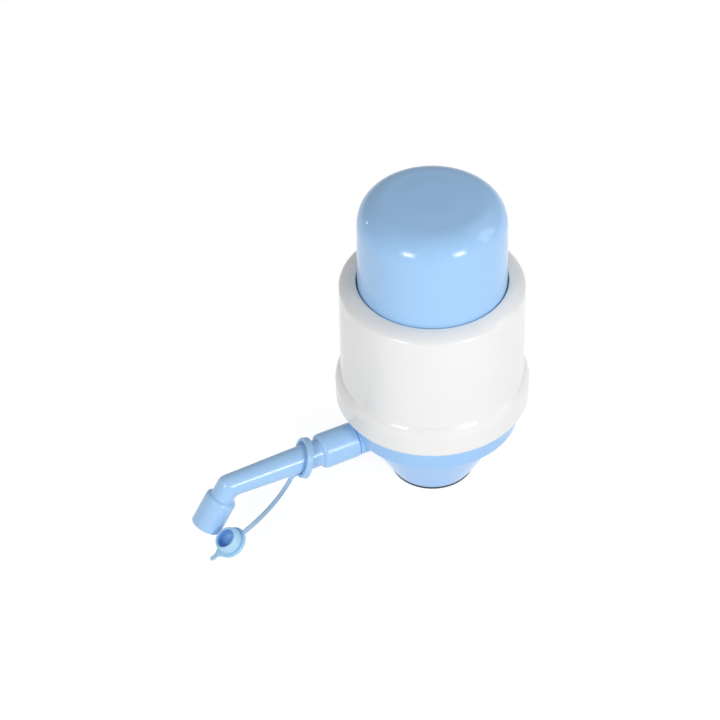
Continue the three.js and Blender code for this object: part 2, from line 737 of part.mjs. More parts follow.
// Strap: leaves the ring square to its rim and reaches the cap in the plane of the flange
const strapRoot = new THREE.Vector3(-Math.sin(ringTilt), 0, -Math.cos(ringTilt));
const strapEnd = new THREE.Vector3(1, 0, 0).applyEuler(dustCap.rotation);
const capMiddle = new THREE.Vector3(0, 0, flangeThickness / 2)
  .applyEuler(dustCap.rotation)
  .add(dustCap.position);
const strapFrom = strapRoot.clone().multiplyScalar(tetherRingOuterRadius + seatGap).add(tetherRing.position);
const strapTo = strapEnd.clone().multiplyScalar(flangeRadius + seatGap).add(capMiddle);
const strapPath = new THREE.CubicBezierCurve3(
  strapFrom,
  strapRoot.clone().multiplyScalar(strapRootPull).add(strapFrom),
  strapEnd.clone().multiplyScalar(strapEndPull).add(strapTo),
  strapTo,
);
piece('tether_strap', swept(
  strapPath, strapThickness / 2, strapWidth / 2, strapSides, strapSteps, 1 / 2,
), softBlue);

// The reference point is the middle of the footprint, level with the surface it stands on
const nozzleReach = bendReach + nozzleLength * Math.cos(drop) + nozzleRadius * Math.sin(drop);
pump.position.x = (nozzleReach - skirtRadius) / 2;

export default pump;
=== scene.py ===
# Hand pump for a water jug: moulded press cap, housing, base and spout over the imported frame.
import json
import math

import bmesh
import bpy
from mathutils import Matrix, Vector


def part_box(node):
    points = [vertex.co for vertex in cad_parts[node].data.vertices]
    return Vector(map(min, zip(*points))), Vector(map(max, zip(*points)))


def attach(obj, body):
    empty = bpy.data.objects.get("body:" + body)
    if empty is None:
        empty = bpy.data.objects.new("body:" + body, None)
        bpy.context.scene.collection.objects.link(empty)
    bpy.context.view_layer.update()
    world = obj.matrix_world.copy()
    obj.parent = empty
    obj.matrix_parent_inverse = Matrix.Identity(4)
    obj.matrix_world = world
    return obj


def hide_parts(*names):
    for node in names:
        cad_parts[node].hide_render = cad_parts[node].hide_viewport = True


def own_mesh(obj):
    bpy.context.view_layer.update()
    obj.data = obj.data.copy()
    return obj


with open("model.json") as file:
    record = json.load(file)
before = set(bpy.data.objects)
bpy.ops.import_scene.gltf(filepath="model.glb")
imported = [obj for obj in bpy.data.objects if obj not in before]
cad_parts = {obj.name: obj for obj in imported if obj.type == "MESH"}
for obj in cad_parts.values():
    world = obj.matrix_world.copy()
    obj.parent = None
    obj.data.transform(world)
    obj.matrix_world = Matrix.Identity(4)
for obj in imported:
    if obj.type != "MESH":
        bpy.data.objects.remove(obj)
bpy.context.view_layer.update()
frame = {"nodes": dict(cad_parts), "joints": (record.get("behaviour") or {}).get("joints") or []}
mm = 0.001  # outlines are drawn in millimetres, meshes are kept in metres
print("frame loaded")


# Places that everything is built on, read from the frame
def jointNamed(name):
    return next(joint for joint in frame["joints"] if joint["name"] == name)


def jointPlace(name):
    return Vector(jointNamed(name)["pos_m"])


def boxMiddle(node):
    low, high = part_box(node)
    return (low + high) / 2


def turnedSize(node):
    low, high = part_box(node)
    return (high.y - low.y) / 2 / mm, low.z / mm, high.z / mm


pumpX = boxMiddle("rim_ring").x
outletZ = jointPlace("spout_swivel").z
ringPlace = jointPlace("tether_turn")
strapPivot = jointPlace("strap_swing")
capPivot = jointPlace("cap_tilt")
pumpAxis = Matrix.Translation((pumpX, 0, 0))
spoutAxis = Matrix.Translation((pumpX, 0, outletZ)) @ Matrix.Rotation(math.radians(-90), 4, "Y")

# Camera at the photograph's angle
camera = {
    "azimuth": -28.7,
    "elevation": 41.2,
    "distance": 1.19048,
    "lens": 130,
    "sensor": 36,
    "aimHeight": 0.081,
    "frameSize": 720,
    "aimPixel": (432.3, 332.5),
    "clipEnd": 20,
}


def directionTo(azimuth, elevation):
    turn, rise = math.radians(azimuth), math.radians(elevation)
    return Vector((math.sin(turn) * math.cos(rise), -math.cos(turn) * math.cos(rise), math.sin(rise)))


def makeCamera():
    data = bpy.data.cameras.new("photoCamera")
    data.lens = camera["lens"]
    data.sensor_width = camera["sensor"]
    half = camera["frameSize"] / 2
    data.shift_x = (half - camera["aimPixel"][0]) / camera["frameSize"]
    data.shift_y = (camera["aimPixel"][1] - half) / camera["frameSize"]
    data.clip_end = camera["clipEnd"]
    holder = bpy.data.objects.new("photoCamera", data)
    back = directionTo(camera["azimuth"], camera["elevation"])
    holder.location = Vector((pumpX, 0, camera["aimHeight"])) + back * camera["distance"]
    holder.rotation_euler = (-back).to_track_quat("-Z", "Y").to_euler()
    bpy.context.scene.collection.objects.link(holder)
    bpy.context.scene.camera = holder


makeCamera()
bpy.context.scene.view_settings.view_transform = "Standard"
print("camera placed")

# Soft studio light: a softbox with a bright core on each side, two windows and a fill at the right,
# a small lamp behind and a dim surround
lamps = {
    "softboxLeft": {"azimuth": -35, "elevation": 22, "wide": 0.42, "tall": 0.52, "power": 2.75},
    "coreLeft": {"azimuth": -35, "elevation": 21, "wide": 0.24, "tall": 0.22, "power": 2.15, "nearer": 0.02},
    "softboxRight": {"azimuth": 40, "elevation": 22, "wide": 0.42, "tall": 0.52, "power": 2.95},
    "coreRight": {"azimuth": 40, "elevation": 21, "wide": 0.24, "tall": 0.22, "power": 2.35, "nearer": 0.02},
    "windowNear": {"azimuth": 87, "elevation": 26, "wide": 0.24, "tall": 0.7, "power": 1.2},
    "windowFar": {"azimuth": 101, "elevation": 31, "wide": 0.24, "tall": 0.7, "power": 1.2},
    "fillRight": {"azimuth": 125, "elevation": 50, "wide": 0.80, "tall": 0.60, "power": 1.0},
    "lampBehind": {"azimuth": -118, "elevation": 15, "wide": 0.07, "tall": 0.10, "power": 0.2},
}
lampDistance = 1.2
surround = {"strength": 0.3, "shown": 0.55}


def makeLamps():
    aim = Vector((pumpX, 0, camera["aimHeight"]))
    for name, lamp in lamps.items():
        data = bpy.data.lights.new(name, "AREA")
        data.shape = "RECTANGLE"
        data.size = lamp["wide"]
        data.size_y = lamp["tall"]
        data.energy = lamp["power"]
        back = directionTo(camera["azimuth"] + lamp["azimuth"], lamp["elevation"])
        holder = bpy.data.objects.new(name, data)
        holder.location = aim + back * (lampDistance - lamp.get("nearer", 0))
        holder.rotation_euler = (-back).to_track_quat("-Z", "Y").to_euler()
        bpy.context.scene.collection.objects.link(holder)


def seenDirectly(nodes, links):
    # 1 for rays that show the background itself: from the camera, a reflection or through glass
    path = nodes.new("ShaderNodeLightPath")
    seen = path.outputs["Is Camera Ray"]
    for ray in ("Is Glossy Ray", "Is Transmission Ray"):
        either = nodes.new("ShaderNodeMath")
        either.operation = "MAXIMUM"
        links.new(seen, either.inputs[0])
        links.new(path.outputs[ray], either.inputs[1])
        seen = either.outputs[0]
    return seen


def makeSurround():
    world = bpy.data.worlds.new("studio")
    world.use_nodes = True
    nodes, links = world.node_tree.nodes, world.node_tree.links
    lighting = nodes["Background"]
    lighting.inputs["Color"].default_value = (1, 1, 1, 1)
    lighting.inputs["Strength"].default_value = surround["strength"]
    shown = nodes.new("ShaderNodeBackground")
    shown.inputs["Color"].default_value = (1, 1, 1, 1)
    shown.inputs["Strength"].default_value = surround["shown"]
    mix = nodes.new("ShaderNodeMixShader")
    links.new(seenDirectly(nodes, links), mix.inputs["Fac"])
    links.new(lighting.outputs[0], mix.inputs[1])
    links.new(shown.outputs[0], mix.inputs[2])
    links.new(mix.outputs[0], nodes["World Output"].inputs["Surface"])
    bpy.context.scene.world = world


floorLook = {"size": 12, "albedo": 0.86, "glow": 0.86, "shade": 0.26}


def makeFloor():
    bm = bmesh.new()
    bmesh.ops.create_grid(bm, x_segments=1, y_segments=1, size=floorLook["size"] / 2)
    mesh = bpy.data.meshes.new("studioFloor")
    bm.to_mesh(mesh)
    bm.free()
    material = bpy.data.materials.new("studioFloor")
    material.use_nodes = True
    nodes, links = material.node_tree.nodes, material.node_tree.links
    nodes.remove(nodes["Principled BSDF"])
    lit = nodes.new("ShaderNodeBsdfDiffuse")
    lit.inputs["Color"].default_value = (floorLook["albedo"],) * 3 + (1,)
    shade = nodes.new("ShaderNodeBsdfDiffuse")
    shade.inputs["Color"].default_value = (floorLook["shade"],) * 3 + (1,)
    glow = nodes.new("ShaderNodeEmission")
    glow.inputs["Strength"].default_value = floorLook["glow"]
    shown = nodes.new("ShaderNodeAddShader")
    links.new(shade.outputs[0], shown.inputs[0])
    links.new(glow.outputs[0], shown.inputs[1])
    mix = nodes.new("ShaderNodeMixShader")
    links.new(seenDirectly(nodes, links), mix.inputs["Fac"])
    links.new(lit.outputs[0], mix.inputs[1])
    links.new(shown.outputs[0], mix.inputs[2])
    links.new(mix.outputs[0], nodes["Material Output"].inputs["Surface"])
    mesh.materials.append(material)
    floor = bpy.data.objects.new("studioFloor", mesh)
    bpy.context.scene.collection.objects.link(floor)


makeLamps()
makeSurround()
makeFloor()
print("studio lit")


# Finishes
noiseSpan = (0.3, 0.7)  # noise values that become the low and the high end
plainLook = {
    "ior": 1.47, "gloss": 0.5, "metal": 0, "soft": 0, "softDepth": 0.001,
    "driftDetail": 2, "patchDetail": 3, "grainDetail": 3,
}


def noiseFactor(nodes, links, place, scale, detail, low, high):
    noise = nodes.new("ShaderNodeTexNoise")
    noise.inputs["Scale"].default_value = scale
    noise.inputs["Detail"].default_value = detail
    links.new(place, noise.inputs["Vector"])
    spread = nodes.new("ShaderNodeMapRange")
    spread.inputs["From Min"].default_value = noiseSpan[0]
    spread.inputs["From Max"].default_value = noiseSpan[1]
    spread.inputs["To Min"].default_value = low
    spread.inputs["To Max"].default_value = high
    links.new(noise.outputs["Fac"], spread.inputs["Value"])
    return spread.outputs["Result"]


def shaded(colour, share):
    return tuple(channel * share for channel in colour) + (1,)


def mouldedFinish(name, look):
    # tone drifts slowly over the moulding, roughness in patches, and a fine grain lifts the gloss
    look = {**plainLook, **look}
    material = bpy.data.materials.new(name)
    material.use_nodes = True
    nodes, links = material.node_tree.nodes, material.node_tree.links
    shader = nodes["Principled BSDF"]
    place = nodes.new("ShaderNodeTexCoord").outputs["Object"]
    tone = nodes.new("ShaderNodeMix")
    tone.data_type = "RGBA"
    tone.inputs["A"].default_value = shaded(look["colour"], 1)
    tone.inputs["B"].default_value = shaded(look["colour"], 1 - look["drift"])
    drift = noiseFactor(nodes, links, place, look["driftScale"], look["driftDetail"], 0, 1)
    links.new(drift, tone.inputs["Factor"])
    links.new(tone.outputs["Result"], shader.inputs["Base Color"])
    rough = noiseFactor(
        nodes, links, place, look["patchScale"], look["patchDetail"], look["roughLow"], look["roughHigh"])
    links.new(rough, shader.inputs["Roughness"])
    grain = nodes.new("ShaderNodeTexNoise")
    grain.inputs["Scale"].default_value = look["grainScale"]
    grain.inputs["Detail"].default_value = look["grainDetail"]
    links.new(place, grain.inputs["Vector"])
    bump = nodes.new("ShaderNodeBump")
    bump.inputs["Strength"].default_value = look["grain"]
    bump.inputs["Distance"].default_value = look["grainDepth"]
    links.new(grain.outputs["Fac"], bump.inputs["Height"])
    links.new(bump.outputs["Normal"], shader.inputs["Normal"])
    shader.inputs["IOR"].default_value = look["ior"]
    shader.inputs["Specular IOR Level"].default_value = look["gloss"]
    shader.inputs["Metallic"].default_value = look["metal"]
    shader.inputs["Subsurface Weight"].default_value = look["soft"]
    shader.inputs["Subsurface Radius"].default_value = (1, 1, 1)
    shader.inputs["Subsurface Scale"].default_value = look["softDepth"]
    return material


glossPlastic = {
    "drift": 0.03, "driftScale": 14, "patchScale": 90, "roughLow": 0.1, "roughHigh": 0.14,
    "grain": 0.12, "grainScale": 1500, "grainDepth": 0.00002,
}
satinPlastic = {
    "drift": 0.04, "driftScale": 30, "patchScale": 160, "roughLow": 0.34, "roughHigh": 0.44,
    "grain": 0.25, "grainScale": 2200, "grainDepth": 0.00003,
}
mattRubber = {
    "drift": 0.18, "driftScale": 60, "patchScale": 240, "roughLow": 0.6, "roughHigh": 0.78,
    "grain": 0.4, "grainScale": 2600, "grainDepth": 0.00004,
}
drawnSteel = {
    "drift": 0.08, "driftScale": 200, "patchScale": 500, "roughLow": 0.22, "roughHigh": 0.36,
    "grain": 0.2, "grainScale": 4000, "grainDepth": 0.00001, "metal": 1,
}
bluePlastic = mouldedFinish("bluePlastic", {**glossPlastic, "colour": (0.375, 0.63, 0.96)})
basePlastic = mouldedFinish("basePlastic", {**glossPlastic, "colour": (0.375, 0.635, 0.99), "gloss": 0.25})
spoutPlastic = mouldedFinish("spoutPlastic", {
    **glossPlastic, "colour": (0.40, 0.65, 0.97), "roughLow": 0.17, "roughHigh": 0.23,
})
whitePlastic = mouldedFinish("whitePlastic", {**glossPlastic, "colour": (0.88, 0.88, 0.87), "drift": 0.015})
softBlue = mouldedFinish("softBlue", {**satinPlastic, "colour": (0.40, 0.65, 0.93)})
# a lighter copy of the soft blue for the dust cap: painted light against the nozzle's shade
capLitBlue = mouldedFinish("capLitBlue", {**satinPlastic, "colour": (0.46, 0.74, 0.98)})
# a darker, more saturated blue for the inside of the dust cap's hollow: painted shade in the recess
hollowShadeBlue = mouldedFinish("hollowShadeBlue", {**satinPlastic, "colour": (0.22, 0.47, 0.86)})
# a darker, greyer copy of the soft blue for the strap: painted shade
strapShadedBlue = mouldedFinish("strapShadedBlue", {**satinPlastic, "colour": (0.34, 0.52, 0.70)})
greyPlastic = mouldedFinish("greyPlastic", {**satinPlastic, "colour": (0.70, 0.72, 0.73)})
darkRubber = mouldedFinish("darkRubber", {**mattRubber, "colour": (0.05, 0.06, 0.08)})
siliconeRubber = mouldedFinish("siliconeRubber", {
    **satinPlastic, "colour": (0.68, 0.70, 0.71), "soft": 0.4, "ior": 1.41,
})
bellowsRubber = mouldedFinish("bellowsRubber", {**mattRubber, "colour": (0.27, 0.36, 0.46)})
steel = mouldedFinish("steel", {**drawnSteel, "colour": (0.60, 0.60, 0.60)})
print("finishes mixed")


# Shaping helpers
bigSides = 144
midSides = 96
smallSides = 64
flapSides = 48
postSides = 32
holeSides = 24
overrun = 1
weldGap = 0.0001
tipWeldGap = 0.01
cornerSegments = 4
sharpAngle = 40


def curveTo(start, end, steps, sharpness=2):
    # rounded corner from one (radius, height) to another, leaving the first end upright
    points = []
    for step in range(steps + 1):
        turn = step / steps * math.pi / 2
        across = math.cos(turn) ** (2 / sharpness)
        up = math.sin(turn) ** (2 / sharpness)
        points.append((end[0] + (start[0] - end[0]) * across, start[1] + (end[1] - start[1]) * up))
    return points


def bevelled(bm, geom, offset, segments, affect):
    bmesh.ops.bevel(
        bm, geom=geom, offset=offset, offset_type="OFFSET", segments=segments, profile=0.5,
        affect=affect, material=-1, clamp_overlap=False,
    )


def ofKind(items, kind):
    return [item for item in items if isinstance(item, kind)]


def roundedWire(bm, outline, closed):
    # a point is (across, up), or (across, up, rounding) for a corner that is rounded
    verts = [bm.verts.new((point[0], 0, point[1])) for point in outline]
    for one, other in zip(verts, verts[1:]):
        bm.edges.new((one, other))
    if closed:
        bm.edges.new((verts[-1], verts[0]))
    for vert, point in zip(verts, outline):
        if len(point) == 3:
            bevelled(bm, [vert], point[2], cornerSegments, "VERTICES")


def spinOutline(bm, outline, sides):
    roundedWire(bm, outline, outline[0][0] > 0 or outline[-1][0] > 0)
    bmesh.ops.spin(
        bm, geom=bm.verts[:] + bm.edges[:], cent=(0, 0, 0), axis=(0, 0, 1), angle=2 * math.pi,
        steps=sides, use_merge=True,
    )
    bmesh.ops.remove_doubles(bm, verts=bm.verts, dist=weldGap)
    bmesh.ops.recalc_face_normals(bm, faces=bm.faces)


def placed(bm, name, place):
    bmesh.ops.scale(bm, vec=(mm, mm, mm), verts=bm.verts)
    bmesh.ops.transform(bm, matrix=place, verts=bm.verts)
    mesh = bpy.data.meshes.new(name)
    bm.to_mesh(mesh)
    bm.free()
    piece = bpy.data.objects.new(name, mesh)
    bpy.context.scene.collection.objects.link(piece)
    return piece


def turned(name, outline, sides, place):
    bm = bmesh.new()
    spinOutline(bm, outline, sides)
    return placed(bm, name, place)


def rod(name, radius, low, high, sides, place):
    return turned(name, [(0, low), (radius, low), (radius, high), (0, high)], sides, place)


def combined(piece, others, operation):
    # joins the others to a piece, or cuts it with them, and keeps only the result
    for other in others:
        modifier = piece.modifiers.new(other.name, "BOOLEAN")
        modifier.operation = operation
        modifier.solver = "EXACT"
        modifier.object = other
    bpy.context.view_layer.update()
    shaped = piece.evaluated_get(bpy.context.evaluated_depsgraph_get())
    mesh = bpy.data.meshes.new_from_object(shaped)
    piece.modifiers.clear()
    piece.data = mesh
    for other in others:
        bpy.data.objects.remove(other)


def fitted(piece, material, slot, body, *nodes):
    piece.data.materials.clear()
    piece.data.materials.append(material)
    piece.data.shade_smooth()
    piece.data.set_sharp_from_angle(angle=math.radians(sharpAngle))
    evened = piece.modifiers.new("evenShading", "WEIGHTED_NORMAL")
    evened.keep_sharp = True
    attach(piece, body)
    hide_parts(*nodes)


def inCircle(count, radius, start):
    for index in range(count):
        turn = start + index * 2 * math.pi / count
        yield Matrix.Translation((radius * mm * math.cos(turn), radius * mm * math.sin(turn), 0))


# Press cap: dome, stop flange under the housing's lip, and the slotted boss over the plug
pressCap = {
    "footRadius": 33.95, "draft": 0.35, "domeHeight": 14, "flatRadius": 18.5, "crown": 0.6,
    "padRadius": 9, "wall": 2, "domeSharpness": 2.4, "flangeHeight": 3.2, "bossRadius": 16,
    "bossBore": 12.1, "notchCount": 4, "notchWidth": 4, "notchHeight": 5, "edge": 0.4,
    "innerSteps": 12, "outerSteps": 24, "crownSteps": 5,
}


def makePressCap():
    p = pressCap
    flangeRadius, flangeFoot, top = turnedSize("press_cap")
    footHeight = turnedSize("housing")[2]
    bossFoot = turnedSize("bellows")[2]
    flangeTop = flangeFoot + p["flangeHeight"]
    flatHeight = top - p["crown"]
    shoulderHeight = flatHeight - p["domeHeight"]
    shoulderRadius = p["footRadius"] - p["draft"]
    taper = p["draft"] / (shoulderHeight - footHeight)
    rootRadius = p["footRadius"] + taper * (footHeight - flangeTop)
    underside = flatHeight - p["wall"]
    inner = curveTo(
        (shoulderRadius - p["wall"], shoulderHeight), (p["flatRadius"], underside),
        p["innerSteps"], p["domeSharpness"],
    )
    outer = curveTo(
        (shoulderRadius, shoulderHeight), (p["flatRadius"], flatHeight),
        p["outerSteps"], p["domeSharpness"],
    )
    pad = []
    for step in range(1, p["crownSteps"] + 1):
        share = step / p["crownSteps"]
        radius = p["flatRadius"] + (p["padRadius"] - p["flatRadius"]) * share
        pad.append((radius, flatHeight + p["crown"] * math.sin(share * math.pi / 2)))
    piece = turned("pressCapMoulding", [
        (0, underside),
        (p["bossBore"], underside),
        (p["bossBore"], bossFoot, p["edge"]),
        (p["bossRadius"], bossFoot, p["edge"]),
        (p["bossRadius"], underside, p["edge"]),
        *reversed(inner),
        (rootRadius - p["wall"], flangeFoot, p["edge"]),
        (flangeRadius, flangeFoot, p["edge"]),
        (flangeRadius, flangeTop, p["edge"]),
        (rootRadius, flangeTop, p["edge"]),
        *outer,
        *pad,
        (0, top),
    ], bigSides, pumpAxis)
    notches = []
    for index in range(p["notchCount"] // 2):
        bm = bmesh.new()
        bmesh.ops.create_cube(bm, size=1)
        reach = 2 * p["bossRadius"] + overrun
        bmesh.ops.scale(bm, vec=(reach, p["notchWidth"], p["notchHeight"]), verts=bm.verts)
        bmesh.ops.translate(bm, vec=(0, 0, underside - p["notchHeight"] / 2), verts=bm.verts)
        turn = Matrix.Rotation(index * 2 * math.pi / p["notchCount"], 4, "Z")
        notches.append(placed(bm, "ventNotch", pumpAxis @ turn))
    combined(piece, notches, "DIFFERENCE")
    fitted(piece, bluePlastic, "blue_plastic", "press", "press_cap")


makePressCap()
print("press cap done")

# Housing: flared skirt, straight body and a soft shoulder down to the cap's opening
housing = {
    "lip": 1.9, "wall": 2.2, "flareHeight": 3, "skirtHeight": 8.3, "footLift": 0.4, "skirtStep": 2.5,
    "stepHeight": 5.6, "stepSharpness": 1.5, "bodyTaper": 0.2, "shoulderRise": 3.7, "openingRadius": 34.45,
    "openingEdge": 0.5, "stepFillet": 2.2, "shoulderSharpness": 1.7, "edge": 0.4,
    "flareSteps": 8, "skirtSteps": 10, "shoulderSteps": 16,
}


def makeHousing():
    h = housing
    skirtRadius, foot, top = turnedSize("housing")
    bandRadius = turnedSize("base")[0]
    wall = h["wall"]
    foot += h["footLift"]
    skirtFoot = foot + h["flareHeight"]
    skirtTop = skirtFoot + h["skirtHeight"]
    bodyFoot = skirtTop + h["stepHeight"]
    bodyFootRadius = skirtRadius - h["skirtStep"]
    bodyTopRadius = bodyFootRadius - h["bodyTaper"]
    bodyTop = top - h["shoulderRise"]
    innerTop = top - wall
    lipTop = skirtFoot + wall
    flare = curveTo((skirtRadius, skirtFoot), (bandRadius, foot), h["flareSteps"])
    skirtStep = curveTo(
        (skirtRadius, skirtTop), (bodyFootRadius, bodyFoot), h["skirtSteps"], h["stepSharpness"])
    shoulder = curveTo(
        (bodyTopRadius, bodyTop), (h["openingRadius"], top), h["shoulderSteps"], h["shoulderSharpness"])
    piece = turned("housingMoulding", [
        (bandRadius - h["lip"], foot, h["edge"]),
        *reversed(flare),
        *skirtStep[:-1],
        (*skirtStep[-1], h["stepFillet"]),
        *shoulder[:-1],
        (*shoulder[-1], h["openingEdge"]),
        (h["openingRadius"], innerTop - wall, h["edge"]),
        (h["openingRadius"] + wall, innerTop - wall, h["edge"]),
        (h["openingRadius"] + wall, innerTop),
        (bodyTopRadius - wall - h["shoulderRise"] / 2, innerTop),
        (bodyTopRadius - wall, bodyTop - h["shoulderRise"] / 2),
        (bodyFootRadius - wall, bodyFoot),
        (skirtRadius - wall, skirtTop),
        (skirtRadius - wall, lipTop),
        (bandRadius - h["lip"], lipTop - wall / 2, h["edge"]),
    ], bigSides, pumpAxis)
    fitted(piece, whitePlastic, "white_plastic", "pump_body", "housing")


makeHousing()
print("housing done")

# Base: collar tube inside a cone, flat underside, band, spigot, outlet boss and screw posts
base = {
    "rimRadius": 20, "neckBore": 19, "neckWall": 1.7, "neckDepth": 21, "webThickness": 2.5,
    "coneTopRadius": 36.7, "coneLedge": 0.6, "bandFootRadius": 40.3, "bandHeight": 11.1, "rimLift": 0.4,
    "wall": 2.2, "spigotRadius": 39.7, "spigotWall": 2.4, "elbowHole": 5.3,
    "rimEdge": 0.3, "coneEdge": 0.25, "bandEdge": 0.8, "edge": 0.3,
    "airPortCount": 4, "airPortRadius": 1.4, "airPortCircle": 9.6,
    "bossRadius": 7.9, "bossBore": 6.1, "bossStart": 27, "bossEnd": 41.6, "bossEdge": 0.35,
    "postCount": 3, "postRadius": 3.4, "postCircle": 34.3, "pilotRadius": 1.8, "pilotDepth": 12,
}


def makeBase():
    b = base
    bandRadius, foot, top = turnedSize("base")
    bandTop = turnedSize("housing")[1] + housing["footLift"]
    underside = bandTop - b["bandHeight"]
    coneTop = underside - b["coneLedge"]
    webFoot = foot + b["neckDepth"]
    webTop = webFoot + b["webThickness"]
    slope = (b["coneTopRadius"] - b["rimRadius"]) / (coneTop - foot)
    neckOutside = b["neckBore"] + b["neckWall"]
    pocketFoot = foot + (neckOutside + b["wall"] - b["rimRadius"]) / slope
    floorTop = underside + b["wall"]
    floorRadius = b["rimRadius"] + slope * (floorTop - foot) - b["wall"]
    spigotBore = b["spigotRadius"] - b["spigotWall"]
    piece = turned("baseMoulding", [
        (b["elbowHole"], webFoot, b["edge"]),
        (b["neckBore"], webFoot, b["edge"]),
        (b["neckBore"], foot + b["rimLift"], b["rimEdge"]),
        (b["rimRadius"], foot + b["rimLift"], b["rimEdge"]),
        (b["coneTopRadius"], coneTop, b["coneEdge"]),
        (b["coneTopRadius"], underside, b["coneEdge"]),
        (b["bandFootRadius"], underside, b["bandEdge"]),
        (bandRadius, bandTop, b["edge"]),
        (b["spigotRadius"], bandTop),
        (b["spigotRadius"], top, b["edge"]),
        (spigotBore, top, b["edge"]),
        (spigotBore, floorTop, b["edge"]),
        (floorRadius, floorTop),
        (neckOutside, pocketFoot),
        (neckOutside, webTop, b["edge"]),
        (b["elbowHole"], webTop, b["edge"]),
    ], bigSides, pumpAxis)
    start = math.pi / (2 * b["postCount"])
    boss = turned("outletBoss", [
        (0, b["bossStart"]),
        (b["bossRadius"], b["bossStart"]),
        (b["bossRadius"], b["bossEnd"], b["bossEdge"]),
        (0, b["bossEnd"]),
    ], smallSides, spoutAxis)
    posts = [turned("screwPost", [
        (0, underside + b["wall"] / 2),
        (b["postRadius"], underside + b["wall"] / 2),
        (b["postRadius"], top, b["edge"]),
        (0, top),
    ], postSides, pumpAxis @ spot) for spot in inCircle(b["postCount"], b["postCircle"], start)]
    combined(piece, [boss, *posts], "UNION")
    bossBore = rod(
        "bossBore", b["bossBore"], b["bossStart"] - overrun, b["bossEnd"] + overrun, smallSides, spoutAxis)
    pilots = [
        rod("screwPilot", b["pilotRadius"], top - b["pilotDepth"], top + overrun, holeSides, pumpAxis @ spot)
        for spot in inCircle(b["postCount"], b["postCircle"], start)
    ]
    airPorts = [
        rod("airPort", b["airPortRadius"], webFoot - overrun, webTop + overrun, holeSides, pumpAxis @ spot)
        for spot in inCircle(b["airPortCount"], b["airPortCircle"], math.pi / b["airPortCount"])
    ]
    combined(piece, [bossBore, *pilots, *airPorts], "DIFFERENCE")
    fitted(piece, basePlastic, "blue_plastic", "pump_body", "base")


makeBase()
print("base done")

# Seals: rim ring, neck gasket, plate seal, elbow seal and the spout's O-ring; the near-black rim ring is
# partly painted shade under the collar's rim
seals = {
    "rimInner": 18.8, "rimProud": 0.2, "rimRound": 0.3, "gasketInner": 11, "gasketRound": 0.5,
    "plateInner": 37.3, "sealRound": 0.25, "elbowInner": 5.3, "ringWire": 0.65,
}


def flatRing(name, node, innerRadius, rounding, sides, proud=0, lift=0):
    outerRadius, foot, top = turnedSize(node)
    outerRadius += proud
    top += lift
    return turned(name, [
        (innerRadius, foot, rounding),
        (outerRadius, foot, rounding),
        (outerRadius, top, rounding),
        (innerRadius, top, rounding),
    ], sides, pumpAxis)


def makeSeals():
    s = seals
    # the near-black ring at the collar's foot is partly a rubber ring and partly painted shade standing for
    # the shadow under the rim
    rim = flatRing(
        "rimRingRubberAndShade", "rim_ring", s["rimInner"], s["rimRound"], bigSides, s["rimProud"], base["rimLift"])
    fitted(rim, darkRubber, "dark_rubber", "pump_body", "rim_ring")
    gasket = flatRing("neckGasketRubber", "neck_gasket", s["gasketInner"], s["gasketRound"], midSides)
    fitted(gasket, darkRubber, "dark_rubber", "pump_body", "neck_gasket")
    plate = flatRing("plateSealRubber", "plate_seal", s["plateInner"], s["sealRound"], midSides)
    fitted(plate, siliconeRubber, "silicone", "pump_body", "plate_seal")
    elbow = flatRing("elbowSealRubber", "elbow_seal", s["elbowInner"], s["sealRound"], smallSides)
    fitted(elbow, darkRubber, "dark_rubber", "pump_body", "elbow_seal")
    low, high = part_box("outlet_o_ring")
    reach = pumpX / mm - (low.x + high.x) / 2 / mm
    wire = s["ringWire"]
    outer = (high.z - low.z) / 2 / mm
    ring = turned("outletRingRubber", [
        (outer - 2 * wire, reach - wire, wire),
        (outer, reach - wire, wire),
        (outer, reach + wire, wire),
        (outer - 2 * wire, reach + wire, wire),
    ], smallSides, spoutAxis)
    fitted(ring, darkRubber, "dark_rubber", "pump_body", "outlet_o_ring")


makeSeals()
print("seals done")

# Flap valves: a thin disc on a stem with a retaining button
flaps = {"stemRadius": 1.4, "thickness": 1.1, "buttonRadius": 2.2, "buttonHeight": 1, "edge": 0.2}


def makeFlap(name, node, body):
    f = flaps
    radius, foot, top = turnedSize(node)
    disc = foot + f["thickness"]
    button = top - f["buttonHeight"]
    piece = turned(name, [
        (0, foot),
        (radius, disc - f["thickness"] / 2, f["edge"]),
        (radius, disc, f["edge"]),
        (f["stemRadius"], disc, f["edge"]),
        (f["stemRadius"], button, f["edge"]),
        (f["buttonRadius"], button, f["edge"]),
        (f["stemRadius"], top, f["edge"]),
        (0, top),
    ], flapSides, pumpAxis)
    fitted(piece, siliconeRubber, "silicone", body, node)


makeFlap("deliveryFlap", "delivery_valve", "delivery_flap")
makeFlap("intakeFlap", "intake_valve", "intake_flap")
print("flap valves done")

# Bellows: thin folded wall with rounded folds, a foot flange and a top face
bellows = {
    "crest": 27, "root": 21, "wall": 1.2, "folds": 8, "flangeRadius": 29.4, "flangeHeight": 1.8,
    "ringThickness": 2.2, "neckBore": 12.1, "foldRound": 0.8, "edge": 0.3,
}


def foldWall(foot, top, inset):
    points = []
    pitch = (top - foot) / bellows["folds"]
    for index in range(2 * bellows["folds"] + 1):
        radius = bellows["crest"] if index % 2 else bellows["root"]
        points.append((radius - inset, foot + index * pitch / 2, bellows["foldRound"]))
    return points


